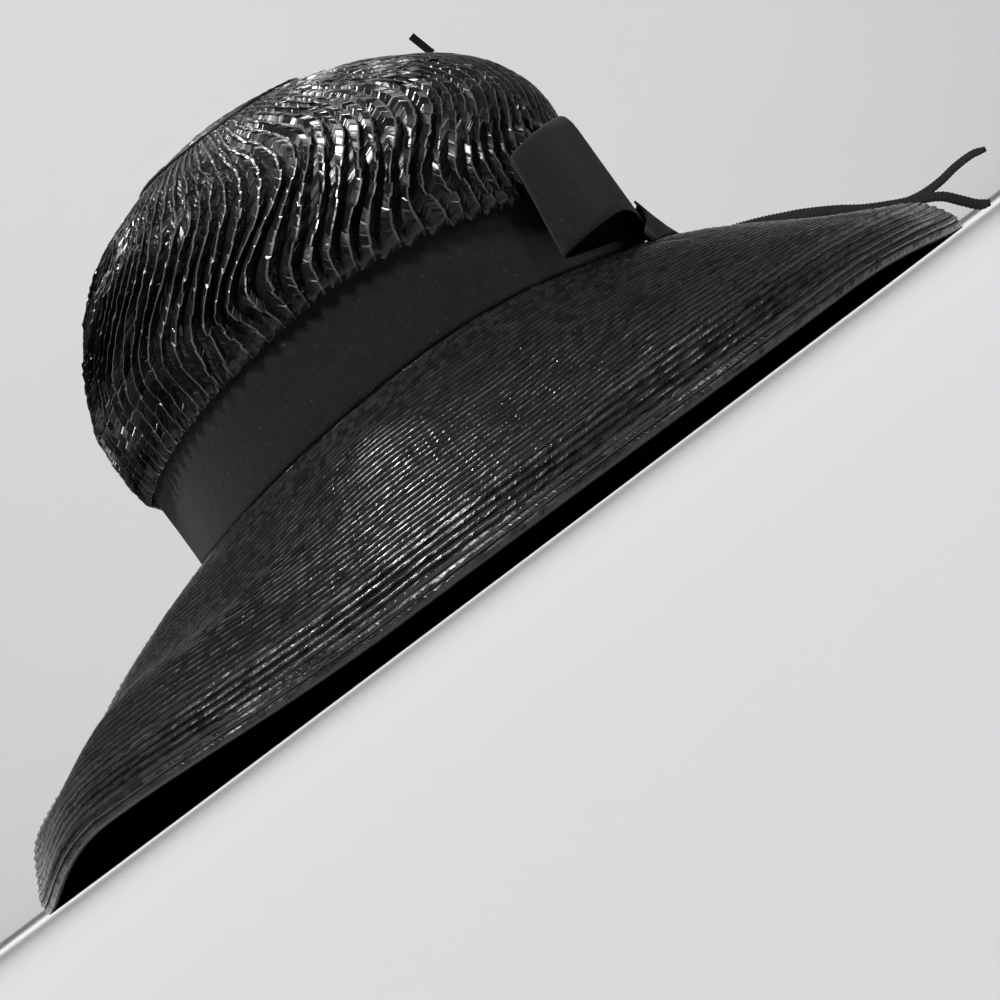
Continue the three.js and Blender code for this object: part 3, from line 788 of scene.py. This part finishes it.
def crown_path():
    """Fine heights up the crown's section, with its spread and the length along it."""
    fine = np.linspace(CROWN_PATH_LOW, CROWN_SECTION[-1][0], CROWN_PATH_STEPS)
    spread = bulge_spread(fine) * BASE_MEAN
    return fine, spread, length_along(np.stack([spread, fine], axis=1))


def shell_points(turned, height, low, off):
    """Points of the crown's shell, off its smooth form, at angles and heights above its lip."""
    bulge = base_radius(turned) * (bulge_spread(height) - 1)
    loose = lerp(LIP_OFF, bulge, smoothstep(height, low - 2, BULGE_LOW)) + off
    points = place(turned, base_radius(turned) + pressed_off(turned, height, loose), height)
    points[..., 0] += bulge_lean(height)
    return points


def fold_fields(column, path, height):
    """How the folds wander, their height to width, and where their crests lie."""
    shift = 0.55 * wander(1, column, path, 34, 19.0) + 0.30 * wander(2, column, path, BRAIDS, 10.0)
    fallen = smoothstep(wander(3, column, path, 24, 20.0), 0.2, 0.7) * smoothstep(height, 104, 122)
    tall = 0.66 + 0.14 * wander(4, column, path, BRAIDS, 8.0) - 0.34 * fallen
    crest = 0.70 + 0.12 * wander(8, column, path, BRAIDS, 11.0) + 0.10 * fallen
    return shift, tall, np.clip(crest, 0.3, 0.86)


def crown_lip(start):
    """All round the crown: height of its lip, top of the band, how far the lip is raised and
    sunk behind the bow, and the height where the folds begin."""
    lip = round_table(CROWN_LIP, start)
    band_top = break_height(start) + GAP + RIBBON_WIDTH
    risen = smoothstep(pressed_share(start), 0, LIP_RISEN_FROM)
    sunk = smoothstep(pressed_share(start), LIP_SUNK_FROM, 1)
    low = lerp(lip + LIP_SECTION[-1][1], band_top + LIP_SECTION[-1][3], risen)
    return lip, band_top, risen, sunk, low


def crossing_path(braid, first, top):
    """Path length of every row of the crown at each fold, and its place in the weave."""
    rng = np.random.default_rng(SEED + 50)
    count = len(CROSSING)
    row = np.arange(CROSSINGS * count + 1)
    weave = row // count + np.array(CROSSING)[row % count, 0]
    up = (weave / CROSSINGS)[:, None]
    late = rng.uniform(-0.5, 0.5, BRAIDS)[braid] / CROSSINGS
    return first + (top - first) * (up + 4 * late * up * (1 - up)), weave, row % count


def crown_outside(braid, section, low):
    """The folds: their points, the weave place of each row, and angle and relief at the lip."""
    rng = np.random.default_rng(SEED + 51)
    fine, _, run = crown_path()
    first, top = np.interp(low, fine, run), run[-1]
    path, weave, step = crossing_path(braid, first, top)
    column = np.broadcast_to((braid + 0.5) / BRAIDS, path.shape)
    shift, tall, crest = fold_fields(column, path, np.interp(path, run, fine))
    path = path + ARROW * section[:, 5] * smoothstep(path - first, 0, 4) * smoothstep(top - path, 0, 5)
    z = np.interp(path, run, fine)

    girth = 2 * math.pi * BASE_MEAN * bulge_spread(z)
    width = CREST_WIDTH * BRAIDS / girth
    across = section[:, 0] * crest + section[:, 1] * width + section[:, 2] * (1 - crest)
    crossing = np.minimum(weave.astype(int), CROSSINGS - 1)
    nick, level, tip_up, tip_over = rng.uniform(-1, 1, (4, CROSSINGS, BRAIDS))[:, crossing][:, :, braid]
    on_crest = smoothstep(section[:, 3], 0.8, 0.95)
    next_shift = np.roll(shift, -len(FOLD_SECTION), axis=1)
    place_across = braid + lerp(shift, 1 + next_shift, across) + NICK * nick * on_crest
    turned = -180 + 360 * place_across / BRAIDS
    turned = turned + swirl_turn(turned, z)

    share_up = np.array(CROSSING)[step]
    calm = smoothstep(z, CALM_BELOW, LIVELY_ABOVE)
    shingle = CROSSING_STEP * (share_up[:, 1:] - 0.5) * (0.8 + 0.4 * level) * lerp(0.45, 1.0, calm)
    lively = 0.7 + 1.5 * smoothstep(wander(10, column, path, 16, 16.0), -0.3, 0.6)
    tilt = 0.20 * tip_up * (2 * share_up[:, :1] - 1) + 0.26 * tip_over * (2 * section[:, 4] - 1)
    tilt = tilt * lively * lerp(0.35, 1.0, calm)
    ridge = (section[:, 3] - FOLD_FOOT) * tall * girth / BRAIDS
    ridge = ridge + shingle + tilt + 0.22 * level * section[:, 3]
    ridge = ridge * lerp(1.0, 0.25, pressed_share(turned))
    ridge = ridge * lerp(0.5, 1.0, smoothstep(top - path, 0, 5))
    ridge = ridge * lerp(0.45, 1.0, smoothstep(path - first, 0, 7))
    return shell_points(turned, z, low[None, :], ridge), weave, turned[0], ridge[0]


def crown_inside(start):
    """Rows down the inner wall of the bulge, and how far each lies along the weave."""
    fine, spread, run = crown_path()
    inner_r, inner_z = offset_line(spread[:, None], fine[:, None], -CLOTH_WALL - CROWN_INSIDE)
    rows, places = [], []
    for length in np.linspace(run[-1], np.interp(CROWN_INNER_LOW, fine, run), CROWN_INNER_ROWS):
        height = np.interp(length, run, fine)
        radius = np.interp(length, run, inner_r[:, 0]) / BASE_MEAN
        around = start + swirl_turn(start, height)
        wall = place(around, base_radius(around) * radius, np.interp(length, run, inner_z[:, 0]))
        wall[..., 0] += bulge_lean(height)
        rows.append(wall)
        places.append(CROSSINGS + (run[-1] - length + CLOTH_WALL) / BRAID_LENGTH)
    return rows, places


def crown_foot(start, band_top, sunk):
    """Rows up the outside of the wall behind the band, and rows down its inside."""
    bottom, top = break_height(start) - BRIM_WALL, band_top + GAP
    outside = base_radius(start) - (RIBBON_WALL + GAP)
    inside = outside - BRIM_WALL
    held = base_radius(start) + lerp(GAP, LIP_HELD_INSIDE, sunk)
    up = [(outside, bottom), (outside, top), (held, top)]
    down = [(inside, top), (inside, lerp(bottom, band_top, 0.5)), (inside, bottom)]
    return [[place(start, radius, height) for radius, height in rows] for rows in (up, down)]


def add_crown():
    braid = np.repeat(np.arange(BRAIDS), len(FOLD_SECTION))
    section = np.array(FOLD_SECTION)[np.tile(np.arange(len(FOLD_SECTION)), BRAIDS)]
    middle = (braid + 0.5) / BRAIDS
    start = -180 + 360 * middle
    lip, band_top, risen, sunk, low = crown_lip(start)
    outside, weave, at_lip, lip_relief = crown_outside(braid, section, low)

    uneven = 0.3 * wander(6, middle, middle * 0, BRAIDS, 1.0) * (1 - risen)
    lip_rows = []
    for off, rise, held_off, held_rise, rib in LIP_SECTION[:2]:
        loose = off + rib * lip_relief
        high = lerp(lip + rise + uneven, band_top + held_rise, risen)
        lip_rows.append(place(at_lip, base_radius(at_lip) + lerp(loose, held_off, sunk), high))

    inner, after = crown_inside(start)
    foot, inner_foot = crown_foot(start, band_top, sunk)
    points = np.stack(foot + lip_rows + list(outside) + inner + inner_foot)

    rows = np.concatenate([CROWN_FOOT_WEAVE, weave, after, after[-1] + np.array(CROWN_END_WEAVE)])
    uv = np.zeros((len(points) + 1, len(braid) + 1, 2))
    uv[:, :, 0] = np.append(braid + section[:, 4], BRAIDS)[None, :]
    uv[:, :, 1] = rows[:, None]
    piece = piece_from_grid("crown_plait", points, plait_material(), uv, along_wraps=True, smooth=False)
    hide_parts("crown")


# ---- tip

TIP_SPREAD = 0.368       # share of the base oval
TIP_RINGS = 49
TIP_COLUMNS = 180
TIP_ROWS = 12            # sewn rows from the middle to the rim
TIP_MEAN = 50            # radius that measures the straw's length round the cap
TIP_THICK = 1.4
TIP_THINNEST = 1.2


def add_tip(material):
    """Oval cap of one sewn row that winds out from the middle."""
    share = np.linspace(0, 1, TIP_RINGS)[:, None]
    turn = angles_round(TIP_COLUMNS)
    section = [(spread, height) for height, spread in TIP_SECTION]
    drop = section_table(section, 1, np.minimum(TIP_SPREAD * share, TIP_SECTION[-1][1]))
    phase = share * TIP_ROWS + turn / 360
    ring = np.broadcast_to(2.0 * np.arange(TIP_RINGS)[:, None], phase.shape)
    ridge = 0.75 * np.abs(np.sin(np.pi * phase)) ** 0.6 - 0.35
    ridge += 0.16 * wander(25, np.broadcast_to(turn / 360 + 0.5, phase.shape), ring, 120, 2.0)
    edge = 0.55 * np.exp(-(((share - 0.985) / 0.018) ** 2))
    top_z = drop + ridge * smoothstep(share, 0, 0.08) + edge
    radius = base_radius(turn) * (TIP_SPREAD * share)
    top = place(turn, radius, top_z)
    under = place(turn, radius, np.minimum(drop - TIP_THICK, top_z - TIP_THINNEST))[::-1]
    points = np.concatenate([drawn_in(top[:1]), top[1:], under[:-1], drawn_in(under[-1:])])
    points[..., 0] += TIP_LEAN

    collapsed = np.arange(len(points) * TIP_COLUMNS)
    collapsed[:TIP_COLUMNS] = 0
    collapsed[-TIP_COLUMNS:] = (len(points) - 1) * TIP_COLUMNS
    uv = np.zeros((len(points), TIP_COLUMNS + 1, 2))
    angle = np.append(turn, 180.0)
    both = np.concatenate([share, share[::-1]])
    uv[:, :, 0] = both * TIP_ROWS + angle / 360
    uv[:, :, 1] = angle / 360 * 2 * math.pi * TIP_MEAN * np.maximum(both, 0.3)
    piece = piece_from_grid("tip_braid", points, material, uv, collapsed=collapsed, smooth=False)
    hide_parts("crown_tip")


# ---- brim

BRIM_COLUMNS = 430
BRIM_LINE_STEPS = 240
BRIM_UNDER_ROWS = 22
BRIM_MEAN = 150          # radius that measures the straw's length round the brim
# Section of a sewn row: share of its width from its outer edge, and height
ROW_SECTION = ((0.0, 0.0), (0.17, 0.92), (0.36, 1.0), (0.70, 0.50))
ROW_HEIGHT = 0.92
ROW_HEIGHT_SIDEWAYS = 0.5


def brim_lines():
    """For each column: distances in from the edge, the distance out and height there, and the
    way square to the brim."""
    angle = angles_round(BRIM_COLUMNS)
    run = np.linspace(1, 0, BRIM_LINE_STEPS)[:, None]
    r, z = brim_top(angle[None, :], run)
    step = np.hypot(np.diff(r, axis=0), np.diff(z, axis=0))
    away = np.concatenate([np.zeros((1, BRIM_COLUMNS)), np.cumsum(step, axis=0)])
    out_r, out_z = offset_line(r, z, 1.0)
    return angle, away, (r, z, out_r - r, out_z - z)


def along_lines(distance, away, lines):
    """The values of several lines at distances in from the edge, column by column."""
    columns = [
        [np.interp(distance[:, k], away[:, k], line[:, k]) for k in range(BRIM_COLUMNS)]
        for line in lines
    ]
    return [np.stack(line, axis=1) for line in columns]


def row_relief(angle, column, distance, total, radius, crest):
    """How far the sewn rows stand off, which is less at the brim's sides."""
    uneven = 1 + 0.14 * wander(21, column, distance, 170, STRAW_PITCH)
    inner = smoothstep(total - distance, 0, 3.0)
    rough = np.random.default_rng(SEED + 52).uniform(-0.09, 0.09, column.shape)
    rough = rough * np.minimum(1, radius / 165) ** 2
    sideways = smoothstep(np.abs(np.sin(np.radians(angle))), 0.86, 1.0)
    height = lerp(ROW_HEIGHT, ROW_HEIGHT_SIDEWAYS, sideways)
    relief = (height * crest * uneven + rough) * inner * smoothstep(distance, 0.0, 1.5)
    return relief + 0.16 * wander(22, column, distance, 90, 9.0) * inner


def brim_under(angle, away, lines):
    """Rows of the under face from the crown out to the edge, and how far in each lies."""
    share = np.linspace(0, 1, BRIM_UNDER_ROWS)[::-1, None]
    r, z, out_r, out_z = along_lines(share * away[-1], away, lines)
    out_r[0], out_z[0] = 0, 1
    out_r[-1], out_z[-1] = 1, 0
    return share, place(angle, r - out_r * BRIM_WALL, z - out_z * BRIM_WALL)


def add_brim(material):
    angle, away, lines = brim_lines()
    total = away[-1]
    samples = len(ROW_SECTION)
    count = int(np.ceil(total.max() / (STRAW_PITCH / samples))) + 1
    sample = np.arange(count)
    section = np.array(ROW_SECTION)[sample % samples]
    rows = (sample // samples + section[:, 0])[:, None]
    column = np.broadcast_to((angle + 180) / 360, (count, BRIM_COLUMNS))
    straight = np.broadcast_to(rows * STRAW_PITCH, column.shape)
    steps = straight + 0.24 * wander(23, column, straight, 40, 7.0)
    distance = np.clip(steps, 0, total)
    r, z, out_r, out_z = along_lines(distance, away, lines)
    relief = row_relief(angle, column, distance, total, r, section[:, 1:])
    top = place(angle, r + out_r * relief, z + out_z * relief)
    share, under = brim_under(angle, away, lines)
    points = np.concatenate([top, under])

    past = steps >= total
    last = np.where(past.any(axis=0), np.argmax(past, axis=0), count - 1)
    index = np.minimum(sample[:, None], last) * BRIM_COLUMNS + np.arange(BRIM_COLUMNS)
    rest = np.arange(count * BRIM_COLUMNS, len(points) * BRIM_COLUMNS)
    collapsed = np.concatenate([index.ravel(), rest])

    totals = np.append(total, total[0])
    uv = np.zeros((len(points) + 1, BRIM_COLUMNS + 1, 2))
    uv[:count, :, 0] = np.minimum(rows, totals / STRAW_PITCH)
    uv[count:-1, :, 0] = share * totals / STRAW_PITCH
    uv[:, :, 1] = np.append((angle + 180) / 360, 1.0) * 2 * math.pi * BRIM_MEAN
    piece = piece_from_grid("brim_straw", points, material, uv, True, collapsed, smooth=False)
    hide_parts("brim")


# Section of the binding: two sewn rows folded round the edge, as inset, height, and place
# across the weave.
BINDING_SECTION = (
    (1.15, 5.15, 3.0), (1.7, 5.55, 3.2), (2.2, 5.6, 3.5), (3.0, 5.3, 3.9), (3.2, 3.6, 4.5),
    (3.0, 1.4, 5.5), (2.75, 0.5, 6.0), (2.0, 0.05, 6.4), (1.1, 0.0, 6.8), (0.5, 0.25, 7.0),
    (0.10, 0.9, 7.2), (0.05, 1.9, 7.6), (0.30, 2.6, 7.95), (0.75, 2.75, 8.0),
    (0.15, 2.95, 8.15), (0.0, 3.4, 8.4), (0.12, 3.9, 8.6), (0.62, 4.6, 8.85),
)
BINDING_LAST_PLACE = 9.0     # where the last row meets the first
BINDING_COLUMNS = 520
BINDING_MEAN = 177       # radius that measures the straw's length round the edge
BINDING_FACE = (0.5, 5.0, 0.7)     # heights and greatest inset of the outer face, which is rough


def add_binding(material):
    """Two rows of straw folded round the brim's edge."""
    angle = angles_round(BINDING_COLUMNS)
    foot, outer = edge_lift(angle), edge_radius(angle)
    share = (angle + 180) / 360
    rng = np.random.default_rng(SEED + 53)
    low, high, inmost = BINDING_FACE
    rows = []
    for n, (inset, up, _) in enumerate(BINDING_SECTION):
        shown = 1.0 if low < up < high and inset < inmost else 0.0
        along = share * 0 + n * 0.8
        rough = 0.16 * np.abs(wander(31, share, along, 140, 1.0))
        rough = rough + rng.uniform(0, 0.14, BINDING_COLUMNS)
        rise = 0.12 * wander(32, share, along, 90, 3.0)
        rows.append(place(angle, outer - inset - rough * shown, foot + up + rise * shown))
    uv = np.zeros((len(rows) + 1, BINDING_COLUMNS + 1, 2))
    uv[:, :, 0] = np.append([row[2] for row in BINDING_SECTION], BINDING_LAST_PLACE)[:, None]
    uv[:, :, 1] = np.append(share, 1.0) * 2 * math.pi * BINDING_MEAN
    piece = piece_from_grid("brim_binding", np.stack(rows), material, uv, True, smooth=False)
    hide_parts("edge_binding")


# ---- band

BAND_COLUMNS = 420
BAND_THICK = 1.1
BAND_EDGE = 0.35         # how far the selvedges turn in


def add_band(material):
    """Ribbon round the foot of the crown, slack in its middle where no bow holds it."""
    angle = angles_round(BAND_COLUMNS)
    outer, foot = base_radius(angle), break_height(angle) + GAP
    share = (angle + 180) / 360
    free = 1 - pressed_share(angle)
    middle_ups = np.linspace(1.6, RIBBON_WIDTH - 1.6, 9)
    ups = np.concatenate([[0.0, 0.5], middle_ups, [RIBBON_WIDTH - 0.5, RIBBON_WIDTH]])
    front, back = [], []
    for up in ups:
        middle = np.sin(np.pi * up / RIBBON_WIDTH)
        inward = 0.30 * middle * (1 + wander(41, share, share * 0 + up, 16, 14.0)) * free
        edge = BAND_EDGE if up in (0.0, RIBBON_WIDTH) else 0.0
        front.append(place(angle, outer - inward - edge, foot + up))
        back.append(place(angle, outer - BAND_THICK + edge * 0.2, foot + up))
    points = np.stack(front + back[::-1])
    uv = np.zeros((len(points) + 1, BAND_COLUMNS + 1, 2))
    uv[:, :, 0] = np.append(share, 1.0) * 2 * math.pi * BASE_MEAN
    uv[:-1, :, 1] = np.concatenate([ups, ups[::-1]])[:, None]
    piece = piece_from_grid("band_ribbon", points, material, uv, along_wraps=True)
    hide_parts("hat_band")
    ring = place(np.append(angle, 180.0), np.append(outer, outer[0]), 0)


# ---- bow

# share of the ribbon's width, share of its thickness there
RIBBON_SECTION = (
    (0.0, 0.2), (0.02, 0.75), (0.08, 1.0), (0.25, 1.0), (0.5, 1.0), (0.75, 1.0), (0.92, 1.0),
    (0.98, 0.75), (1.0, 0.2),
)
LOOP_THICK = 0.9
KNOT_THICK = 1.0
KNOT_PLEAT = 0.22
TAIL_THICK = 0.8
TAIL_STEPS = 90
TAIL_UPS = 16


def ribbon_grid(feet, heads, thick):
    """Upright ribbon between its foot line and its head line, with rounded selvedges."""
    one, other = [], []
    for share, full in RIBBON_SECTION:
        middle = lerp(feet, heads, share)
        side = lerp(side_of(feet), side_of(heads), share) * thick / 2 * full
        one.append(middle + side)
        other.append(middle - side)
    return capped(np.stack(one + other[::-1], axis=1))


def ribbon_uv(along, ups):
    """Weave places of an upright ribbon, up one side and down the other."""
    return capped_uv(along, np.concatenate([ups, ups[::-1], [0.0]]))


def ribbon_piece(name, node, feet, heads, width, thick, material, inside=None):
    """Folded ribbon between two lines. inside is the material of the side that faces inward; for the
    loops it is a painted shade material.
    """
    grid = ribbon_grid(feet, heads, thick)
    along = length_along(lerp(feet, heads, 0.5))
    shares = np.array([row[0] for row in RIBBON_SECTION])
    piece = piece_from_grid(name, grid, material, ribbon_uv(along, shares * width))
    if inside is not None:
        # the side that faces inward gets the darker material, which is painted shade
        piece.data.materials.append(inside)
        painted_shade_faces = np.tile(np.arange(grid.shape[1]) >= len(shares) - 1, len(grid) - 1)
        piece.data.polygons.foreach_set("material_index", painted_shade_faces.astype(np.int32))
    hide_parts(node)


def side_of(line):
    along = np.gradient(line, axis=0)
    along[:, 2] = 0
    along /= np.linalg.norm(along, axis=1, keepdims=True)
    return np.stack([along[:, 1], -along[:, 0], np.zeros(len(line))], axis=1)


def loop_line(rows, samples):
    points = [place(angle, base_radius(angle) + off, foot) for angle, off, foot in rows]
    return smooth_line(points, samples)


def add_loop(name, node, rows, samples, material):
    middle = sum(KNOT_ANGLES) / 2
    heads = [(middle + (angle - middle) * LOOP_HEAD_REACH, off, foot) for angle, off, foot in rows]
    feet_line, head_line = loop_line(rows, samples), loop_line(heads, samples)
    head_line[:, 2] = feet_line[:, 2] + RIBBON_WIDTH
    # the loops' inner side is coloured near black as painted shade
    ribbon_piece(name, node, feet_line, head_line, RIBBON_WIDTH, LOOP_THICK, material,
                 painted_shade_cloth_material())


def add_knot(material):
    """Ribbon wrapped over the middle of the bow, with three soft pleats."""
    share = np.linspace(0, 1, 40)
    angle = lerp(KNOT_ANGLES[0], KNOT_ANGLES[1], share)
    pleat = KNOT_PLEAT * np.sin(2 * np.pi * 3 * share)
    off = KNOT_OFF + KNOT_SWELL * np.sin(np.pi * share) + pleat
    feet = place(angle, base_radius(angle) + off, KNOT_FOOT)
    heads = place(angle, base_radius(angle) + off, KNOT_FOOT + KNOT_HEIGHT)
    ribbon_piece("bow_wrap", "bow_knot", feet, heads, KNOT_HEIGHT, KNOT_THICK, material)


def add_tail(material):
    """The bow's short end, which leans out over the brim and is cut at a slant."""
    angle = np.linspace(TAIL_CUT[0][0], TAIL_CUT[-1][0], TAIL_STEPS)
    cut = section_table(TAIL_CUT, 1, angle)[None, :]
    fine = np.linspace(0, len(TAIL_SECTION) - 1, TAIL_UPS)
    knots = range(len(TAIL_SECTION))
    off, clear = [np.interp(fine, knots, part)[:, None] for part in zip(*TAIL_SECTION)]
    last_off, last_clear = TAIL_SECTION[-1]
    radius = base_radius(angle)[None, :] + lerp(last_off, off, cut)
    z = brim_height_at(angle[None, :], radius) + lerp(last_clear, clear, cut)
    inside = place(angle[None, :], radius, z)
    outside = place(angle[None, :], *offset_line(radius, z, -TAIL_THICK))
    grid = capped(np.concatenate([inside, outside[::-1]]).transpose(1, 0, 2))
    along = length_along(inside[TAIL_UPS // 2])
    down = length_along(np.stack([radius[:, -1], z[:, -1]], axis=1))
    piece = piece_from_grid("tail_ribbon", grid, material, ribbon_uv(along, down))
    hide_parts("bow_tail")


# ---- make it

def main():
    add_camera()
    add_ties()
    add_room()
    add_lights()
    straw = straw_material("black_straw", 0.11)
    ribbon = ribbon_material("black_grosgrain", 0.92, 0.0135)
    add_crown()
    add_tip(straw_material("cap_straw", 0.16, 0.25))
    add_brim(straw)
    add_binding(straw)
    add_band(ribbon)
    add_loop("loop_front", "bow_loop_front", FRONT_LOOP, 150, ribbon)
    add_loop("loop_back", "bow_loop_back", BACK_LOOP, 110, ribbon)
    add_knot(ribbon)
    add_tail(ribbon)
    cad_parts["braid_end"].data.materials.clear()
    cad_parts["braid_end"].data.materials.append(bpy.data.materials["black_plait"])


main()
